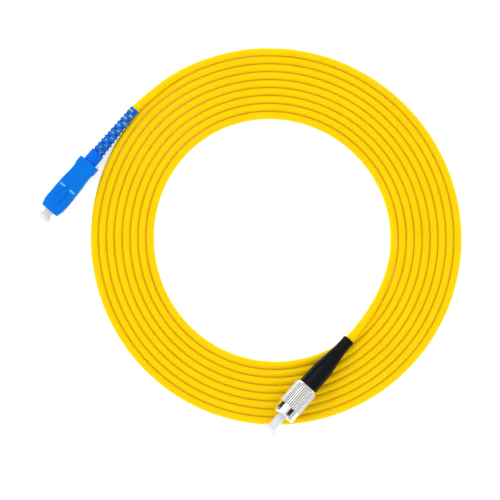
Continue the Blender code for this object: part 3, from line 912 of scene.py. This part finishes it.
@dataclass
class FcPlug(Plug):
    """The FC plug: a knurled coupling nut, a keyed body, a smooth boot and a long soft cap.

    Each window angle is that of a pair of opposite windows, in degrees from local +X. The knurl's
    steepness is how fast a tooth falls to its root.
    """

    axis: PlugAxis = field(default_factory=lambda: PlugAxis(Vector((3.3, -70.3, 9.87)), 48.4, 5.9))
    boot_end: float = 40.4
    prefix: str = "fc"
    nut_outside: Profile = (
        (0.0, 4.35), (0.4, 4.85), (4.3, 4.85), (4.55, 5.0), (14.4, 5.0), (15.2, 4.5))
    nut_bore: Profile = (
        (0.0, 4.0), (0.4, 3.72), (6.5, 3.72), (6.9, 4.1), (12.9, 4.1), (13.2, 3.35), (15.2, 3.35))
    knurl_span: tuple[float, float] = (4.5, 14.5)
    knurl_teeth: int = 36
    knurl_depth: float = 0.32
    knurl_steepness: float = 1.8
    knurl_root_share: float = 0.4
    facets_per_tooth: int = 10
    thread_span: tuple[float, float] = (0.6, 6.3)
    thread_pitch: float = 0.75
    thread_depth: float = 0.2
    thread_steps: int = 6
    window_width: float = 1.75
    window_span: tuple[float, float] = (0.95, 4.35)
    window_angles: tuple[float, float] = (104.5, 47.0)
    # The keyed body and its key sit inside the nut; their dark nickel is painted shade.
    keyed_body: TurnedPart = TurnedPart(
        "fc_keyed_body", "fc_plug_body", SHADED_INNER_NICKEL, Body.CORD, "nickel",
        ((1.6, 2.75), (1.9, 2.95), (9.3, 2.95), (9.3, 3.85), (11.3, 3.85), (11.3, 3.05), (18.0, 3.05)),
        ((1.6, 2.35), (7.2, 2.35), (7.2, 1.45), (8.2, 1.45), (8.2, 2.3), (18.0, 2.3)))
    key: Box = (2.0, 0.8, (1.6, 5.6), 3.0, 0.0)
    ferrule_parts: tuple[TurnedPart, ...] = (
        TurnedPart("fc_ceramic_ferrule", "fc_ferrule", ZIRCONIA, Body.FC_FERRULE, "ferrule",
                   ((0.7, 0.0), (0.7, 0.9), (1.1, 1.25), (11.2, 1.25), (11.2, 0.0)), fillet=0.1),
        TurnedPart("fc_collar", "fc_ferrule_flange", NICKEL_PLATE, Body.FC_FERRULE, "nickel",
                   ((8.35, 1.9), (8.6, 2.1), (10.6, 2.1), (10.8, 1.35), (13.6, 1.35)),
                   ((8.35, 1.3), (11.3, 1.3), (11.3, 0.5), (13.6, 0.5))),
        TurnedPart("fc_inner_tube", "fc_guide_tube", PTFE_TUBE, Body.FC_FERRULE, "guide_tube",
                   ((13.8, 0.8), (20.0, 0.8)), ((13.8, 0.55), (20.0, 0.55)), 0.05, 32),
        TurnedPart("fc_buffered_fibre", "fc_buffer", NYLON_BUFFER, Body.FC_FERRULE, "fiber_buffer",
                   ((11.5, 0.0), (11.5, 0.45), (32.0, 0.45), (32.0, 0.0)), (), 0.05, 24))
    spring_seats: tuple[float, float] = (11.1, 16.2)
    neck_parts: tuple[TurnedPart, ...] = (
        TurnedPart("fc_crimp_neck", "fc_rear_body", TURNED_BRASS, Body.CORD, "rear_body",
                   ((16.6, 2.22), (18.3, 2.22), (18.3, 3.05), (19.3, 3.05), (19.3, 1.8), (25.0, 1.8)),
                   ((16.6, 1.0), (25.0, 1.0))),
        TurnedPart("fc_strength_yarn", "fc_aramid_yarn", ARAMID, Body.CORD, "aramid_yarn",
                   ((19.9, 2.02), (25.0, 2.02)), ((19.9, 1.88), (25.0, 1.88)), 0.03, 48),
        TurnedPart("fc_crimped_sleeve", "fc_crimp_sleeve", CRIMPED_ALUMINIUM, Body.CORD, "crimp_sleeve",
                   ((19.7, 2.35), (25.3, 2.35), (25.8, 1.95), (28.2, 1.95)),
                   ((19.7, 2.1), (25.1, 2.1), (25.6, 1.58), (28.2, 1.58))),
        TurnedPart("fc_jacket_in_boot", "fc_jacket_end", JACKET_PVC, Body.CORD, "cable_jacket",
                   ((25.9, 1.5), (40.1, 1.5)), ((25.9, 1.0), (40.1, 1.0)), 0.05))
    boot_waist: Profile = (
        (15.8, 4.05), (18.0, 4.06), (20.4, 4.05), (22.8, 4.0), (25.2, 3.85), (27.6, 3.5), (30.0, 3.18),
        (32.4, 2.85), (34.4, 2.58), (37.0, 2.42), (40.1, 2.4))
    boot_bore: Profile = (
        (15.5, 3.2), (19.6, 3.2), (20.0, 2.5), (26.0, 2.5), (26.5, 2.05), (28.5, 2.05), (28.9, 1.6),
        (40.4, 1.6))
    cap: TurnedPart = TurnedPart(
        "fc_milky_cap", "fc_dust_cap", COOL_PE, Body.FC_CAP, "dust_cap",
        ((-8.5, 0.0), (-8.5, 1.5), (-8.1, 3.15), (-6.6, 3.15), (-6.5, 1.85), (5.8, 1.75)),
        ((-5.5, 0.0), (-5.5, 1.32), (5.8, 1.32)), 0.2)

    def nut_radius(self, place: float, radius: float, turn: float, is_bore: bool) -> float:
        """The nut's radius at a point, with its knurl outside and its thread inside.

        Args:
            place: the distance behind the front.
            radius: the plain radius there.
            turn: the place round the nut, in turns.
            is_bore: whether the point is on the inside.

        Returns:
            The radius in millimetres.
        """
        if is_bore and self.thread_span[0] <= place <= self.thread_span[1]:
            phase = (place / self.thread_pitch - turn) % 1.0
            return radius + self.thread_depth * (1 - abs(2 * phase - 1))
        if not is_bore and self.knurl_span[0] < place < self.knurl_span[1]:
            phase = (turn * self.knurl_teeth) % 1.0
            fall = 1 - self.knurl_steepness * (1 - abs(2 * phase - 1))
            return radius - self.knurl_depth * max(0.0, fall)
        return radius

    def is_knurl_root(self, place: float, radius: float) -> bool:
        """Whether a face lies in a root of the knurl.

        Args:
            place: its distance behind the front.
            radius: its distance from the axis.

        Returns:
            True in a root.
        """
        depth = max(outside for _, outside in self.nut_outside) - radius
        return (self.knurl_span[0] < place < self.knurl_span[1]
                and self.knurl_root_share * self.knurl_depth < depth < self.knurl_depth)

    def build_nut(self) -> None:
        """The nickel-plated coupling nut with straight knurling, windows and a thread."""
        outside = filleted(self.nut_outside, 0.12, False)
        bore = filleted(tuple(reversed(self.nut_bore)), 0.1, False)
        start, end = self.thread_span
        steps = round((end - start) / self.thread_pitch * self.thread_steps)
        threaded = [(end - (end - start) * i / steps, self.nut_bore[1][1]) for i in range(steps + 1)]
        bore = [*(p for p in bore if p[0] > end), *threaded, *(p for p in bore if p[0] < start)]
        facets = self.knurl_teeth * self.facets_per_tooth
        rings = []
        for is_bore, profile in ((False, outside), (True, bore)):
            for place, radius in profile:
                rings.append([round_axis(TURN * i / facets,
                                         self.nut_radius(place, radius, i / facets, is_bore), place)
                              for i in range(facets)])
        nut = shaded(linked("fc_knurled_nut", rings_mesh("fc_knurled_nut", rings, True)), 30.0)
        for angle in self.window_angles:
            window = (self.window_width, 14.0, self.window_span, 0.0, angle - 90.0)
            cut(nut, block_piece("nut_window_cutter", [window]))
        self.place(nut, NICKEL_PLATE, Body.FC_NUT, "nickel", "fc_coupling_nut")
        # Painted shade: the faces in the knurl's roots take the grey nickel.
        add_second_finish(nut, KNURL_ROOT_SHADE_NICKEL, self.is_knurl_root)

    def build_body(self) -> None:
        """The keyed body that the nut turns on."""
        self.build_turned([self.keyed_body])
        # The key's dark nickel is painted shade.
        self.place(block_piece("fc_key", [self.key], 0.1), SHADED_INNER_NICKEL, Body.CORD, "nickel")

    def build_boot(self) -> None:
        """The smooth black boot: a bulging front, a long taper and a straight cuff."""
        waist = smooth_line([Vector(point) for point in self.boot_waist], 3)
        outside = [(15.5, 3.8), (15.6, 3.95), *(tuple(point) for point in waist), (40.4, 2.2)]
        boot = turned_piece("fc_smooth_boot", outside, self.boot_bore, 0.1)
        self.place(boot, BLACK_TPE, Body.CORD, "fc_boot", "fc_boot")

    def build(self) -> None:
        """Makes the whole FC plug."""
        self.build_nut()
        self.build_body()
        self.build_inside()
        self.build_boot()
        self.build_turned([self.cap])


@dataclass
class Studio:
    """The floor, the light and the camera, which looks straight down.

    The aim, the distance, the width seen and the heights are in millimetres; the floor's size is in
    metres. A gloss stop is a height in the tent, from 0 at the table to 1 overhead, and its colour.
    The key's softness and tilt are in degrees.
    """

    aim: tuple[float, float] = (22.02, 8.16)
    camera_distance: float = 1000.0
    width_seen: float = 200.0
    plane_height: float = 1.5
    floor_size: float = 6.0
    floor_drop: float = 0.02
    fill_strength: float = 1.08
    gloss_strength: float = 1.0
    gloss_stops: tuple[tuple[float, tuple[float, float, float, float]], ...] = (
        (0.05, (0.4, 0.4, 0.41, 1.0)), (0.4, (0.68, 0.68, 0.69, 1.0)), (0.75, (1.0, 1.0, 1.0, 1.0)))
    key_strength: float = 0.4
    key_softness: float = 35.0
    key_tilt: tuple[float, float] = (-28.0, -26.0)

    def build_camera(self) -> None:
        """A long lens straight above the coil."""
        lens = bpy.data.cameras.new("overhead_camera")
        lens.sensor_width = 36.0
        lens.lens = lens.sensor_width * self.camera_distance / self.width_seen
        lens.clip_start, lens.clip_end = 0.05, 50.0
        camera = linked("overhead_camera", lens)
        camera.location = Vector((*self.aim, self.plane_height + self.camera_distance)) * MM
        bpy.context.scene.camera = camera

    def build_floor(self) -> None:
        """A wide sheet of white paper."""
        half = self.floor_size / 2
        mesh = bpy.data.meshes.new("paper_floor")
        corners = [(x * half, y * half, 0.0) for x, y in ((-1, -1), (1, -1), (1, 1), (-1, 1))]
        mesh.from_pydata(corners, [], [(0, 1, 2, 3)])
        floor = with_finish(linked("paper_floor", mesh), WHITE_PAPER)
        floor.location.z = -self.floor_drop * MM

    def build_light(self) -> None:
        """A white tent, greyer towards the table for the gloss, and a faint soft key."""
        world = bpy.data.worlds.new("white_tent")
        bpy.context.scene.world = world
        world.use_nodes = True
        tree = world.node_tree
        place = add_node(tree, "ShaderNodeTexCoord").outputs["Generated"]
        height = add_node(tree, "ShaderNodeSeparateXYZ", Vector=place).outputs["Z"]
        softbox = add_node(tree, "ShaderNodeValToRGB", Fac=height)
        stops = softbox.color_ramp.elements
        stops.new(0.5)
        for stop, (position, colour) in zip(stops, self.gloss_stops):
            stop.position, stop.color = position, colour
        gloss = add_node(tree, "ShaderNodeBackground", Color=softbox.outputs["Color"],
                         Strength=self.gloss_strength)
        fill = tree.nodes["Background"]
        fill.inputs["Color"].default_value = (1.0, 1.0, 1.0, 1.0)
        fill.inputs["Strength"].default_value = self.fill_strength
        is_gloss = add_node(tree, "ShaderNodeLightPath").outputs["Is Glossy Ray"]
        mixed = tree.nodes.new("ShaderNodeMixShader")
        tree.links.new(is_gloss, mixed.inputs[0])
        tree.links.new(fill.outputs[0], mixed.inputs[1])
        tree.links.new(gloss.outputs[0], mixed.inputs[2])
        tree.links.new(mixed.outputs[0], tree.nodes["World Output"].inputs["Surface"])
        key = bpy.data.lights.new("soft_key", "SUN")
        key.energy = self.key_strength
        key.angle = math.radians(self.key_softness)
        lamp = linked("soft_key", key)
        lamp.rotation_euler = (*(math.radians(tilt) for tilt in self.key_tilt), 0.0)
        bpy.context.scene.view_settings.view_transform = "Standard"

    def build(self) -> None:
        """Makes the studio."""
        self.build_camera()
        self.build_floor()
        self.build_light()


def main() -> None:
    """Builds the studio, the cord and both plugs round the frame."""
    logging.basicConfig(level=logging.INFO, format="%(message)s")
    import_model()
    Studio().build()
    cord = Cord()
    sc_plug = ScPlug(coil_middle=cord.middle)
    fc_plug = FcPlug(coil_middle=cord.middle)
    cord.build(sc_plug.cable_exit(cord.reach_into_boot), fc_plug.cable_exit(cord.reach_into_boot))
    sc_plug.build()
    fc_plug.build()


if __name__ == "__main__":
    main()
